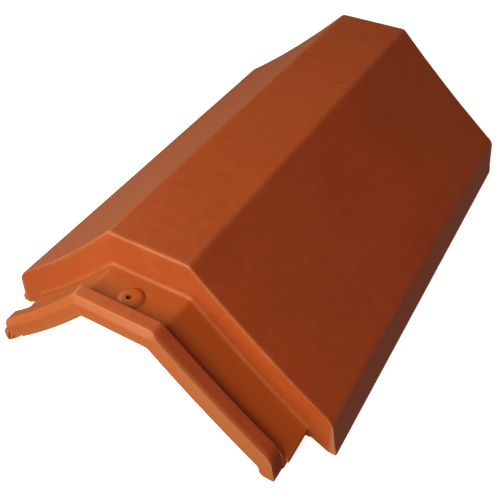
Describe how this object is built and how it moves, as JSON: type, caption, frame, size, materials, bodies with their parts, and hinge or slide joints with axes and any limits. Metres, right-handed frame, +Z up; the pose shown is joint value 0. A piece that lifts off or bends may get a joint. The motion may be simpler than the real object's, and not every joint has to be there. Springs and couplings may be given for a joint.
{
  "type": "angular ridge tile",
  "caption": "Hollow angular clay ridge tile with a flat top, two sloping sides, beaded lips and a stepped, ribbed underlap with a nail boss.",
  "frame": {"origin": "under the middle of the whole tile, on the level of its feet", "axes": "+Y along the ridge from the underlap to the far end, +X to the right of someone who faces the underlap's rear, +Z up"},
  "size_m": [0.2628, 0.3734, 0.1165],
  "materials": {
    "fired_clay": "matt, fine-grained natural red clay, unglazed, faintly mottled"
  },
  "bodies": {
    "root": {"tile_body": "fired_clay"}
  },
  "joints": []
}
